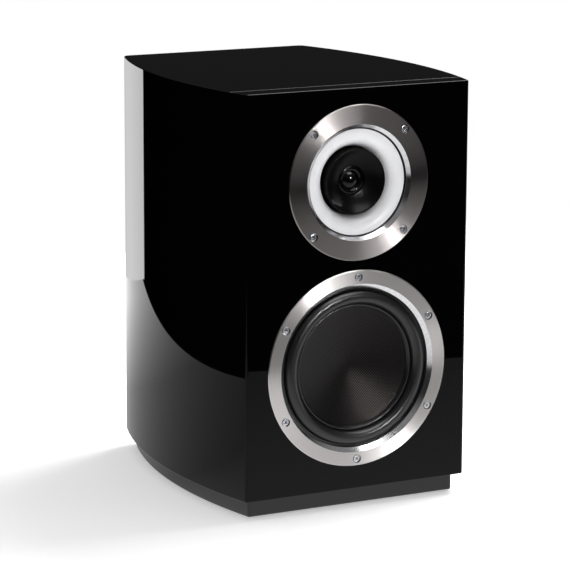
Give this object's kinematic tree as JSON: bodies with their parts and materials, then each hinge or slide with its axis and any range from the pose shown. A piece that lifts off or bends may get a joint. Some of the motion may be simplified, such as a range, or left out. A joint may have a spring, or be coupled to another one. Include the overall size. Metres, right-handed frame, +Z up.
{
  "type": "bookshelf speaker",
  "caption": "Compact loudspeaker with bowed gloss black cabinet, woofer, coaxial upper unit, rear port and binding posts, on a recessed plinth.",
  "frame": {"origin": "centre of the overall footprint, at the underside of the rubber feet", "axes": "front faces -Y, +X to the right seen from the front, +Z up"},
  "size_m": [0.245, 0.3079, 0.3725],
  "materials": {
    "black_lacquer": "mirror gloss black lacquer over fibreboard",
    "satin_black": "satin black lacquer over fibreboard",
    "plywood": "raw birch ply",
    "grey_foam": "open foam",
    "black_foam": "matt closed foam",
    "zinc_steel": "zinc plated",
    "black_rubber": "matt",
    "brass": "satin",
    "turned_aluminium": "fine turned face, polished edge",
    "chromed_steel": "polished",
    "cast_aluminium": "black coated casting",
    "woven_cone": "coated fine twill",
    "brown_former": "amber film",
    "copper": "enamelled copper wire",
    "spider_cloth": "resin set cloth",
    "ferrite": "matt ferrite",
    "neodymium": "nickel plated",
    "white_diaphragm": "satin white",
    "semi_gloss_black": "semi gloss",
    "dome_lacquer": "gloss",
    "black_silk": "coated cloth",
    "black_plastic": "satin",
    "red_plastic": "semi gloss",
    "green_board": "coated board",
    "orange_film": "wrapped film",
    "white_ceramic": "ceramic",
    "wire_cover": "flexible cover",
    "black_steel": "black oxide"
  },
  "bodies": {
    "cabinet": {"front_baffle": "black_lacquer", "top_panel": "black_lacquer", "bottom_panel": "black_lacquer", "left_side_panel": "black_lacquer", "right_side_panel": "black_lacquer", "rear_panel": "black_lacquer", "window_brace": "plywood", "damping_pads": "grey_foam", "plinth": "satin_black", "plinth_screws": "zinc_steel", "rubber_feet": "black_rubber", "stand_inserts": "brass", "woofer_trim_ring": "turned_aluminium", "woofer_screws": "chromed_steel", "woofer_basket": "cast_aluminium", "woofer_gasket": "black_foam", "woofer_surround": "black_rubber", "woofer_spider": "spider_cloth", "woofer_top_plate": "zinc_steel", "woofer_magnet": "ferrite", "woofer_back_plate": "zinc_steel", "woofer_terminals": "brass", "upper_trim_ring": "turned_aluminium", "upper_screws": "chromed_steel", "upper_frame": "cast_aluminium", "upper_gasket": "black_foam", "mid_surround": "black_rubber", "mid_spider": "spider_cloth", "mid_top_plate": "zinc_steel", "mid_magnet": "ferrite", "mid_back_plate": "zinc_steel", "tweeter_waveguide": "semi_gloss_black", "tweeter_surround": "black_silk", "tweeter_top_plate": "zinc_steel", "tweeter_pole_plate": "zinc_steel", "tweeter_magnet": "neodymium", "tweeter_cup": "zinc_steel", "rear_chamber": "black_plastic", "crossover_board": "green_board", "board_standoffs": "brass", "crossover_coils": "copper", "crossover_capacitors": "orange_film", "crossover_resistors": "white_ceramic", "inner_wires": "wire_cover", "port_tube": "black_plastic", "terminal_panel": "black_plastic", "terminal_screws": "black_steel", "post_studs": "brass", "post_nuts": "brass"},
    "woofer_moving": {"woofer_cone": "woven_cone", "woofer_former": "brown_former", "woofer_coil": "copper"},
    "mid_moving": {"mid_diaphragm": "white_diaphragm", "mid_coil": "copper"},
    "dome_moving": {"tweeter_dome": "dome_lacquer", "tweeter_coil": "copper"},
    "red_clamp": {"red_washer": "brass"},
    "red_grip": {"red_cap": "red_plastic"},
    "black_clamp": {"black_washer": "brass"},
    "black_grip": {"black_cap": "black_plastic"}
  },
  "joints": [
    {"name": "woofer_stroke", "type": "slide", "parent": "cabinet", "child": "woofer_moving", "axis": [0, -1, 0], "range_m": [-0.006, 0.006], "stiffness_N_per_m": 1000, "deforming": ["woofer_surround", "woofer_spider"]},
    {"name": "mid_stroke", "type": "slide", "parent": "cabinet", "child": "mid_moving", "axis": [0, -1, 0], "range_m": [-0.0015, 0.0015], "stiffness_N_per_m": 1500, "deforming": ["mid_surround", "mid_spider"]},
    {"name": "dome_stroke", "type": "slide", "parent": "cabinet", "child": "dome_moving", "axis": [0, -1, 0], "range_m": [-0.0003, 0.0003], "stiffness_N_per_m": 1500, "deforming": ["tweeter_surround"]},
    {"name": "red_slide", "type": "slide", "parent": "cabinet", "child": "red_clamp", "axis": [0, 1, 0], "range_m": [0, 0.004]},
    {"name": "red_turn", "type": "hinge", "parent": "red_clamp", "child": "red_grip", "pos_m": [-0.019, 0.1469, 0.11335], "axis": [0, 1, 0], "range_deg": [0, 1440]},
    {"name": "black_slide", "type": "slide", "parent": "cabinet", "child": "black_clamp", "axis": [0, 1, 0], "range_m": [0, 0.004]},
    {"name": "black_turn", "type": "hinge", "parent": "black_clamp", "child": "black_grip", "pos_m": [0.019, 0.1469, 0.11335], "axis": [0, 1, 0], "range_deg": [0, 1440]}
  ],
  "couplings": [
    {"joint": "red_turn", "follows": "red_slide", "rad_per_m": 6283},
    {"joint": "black_turn", "follows": "black_slide", "rad_per_m": 6283}
  ]
}
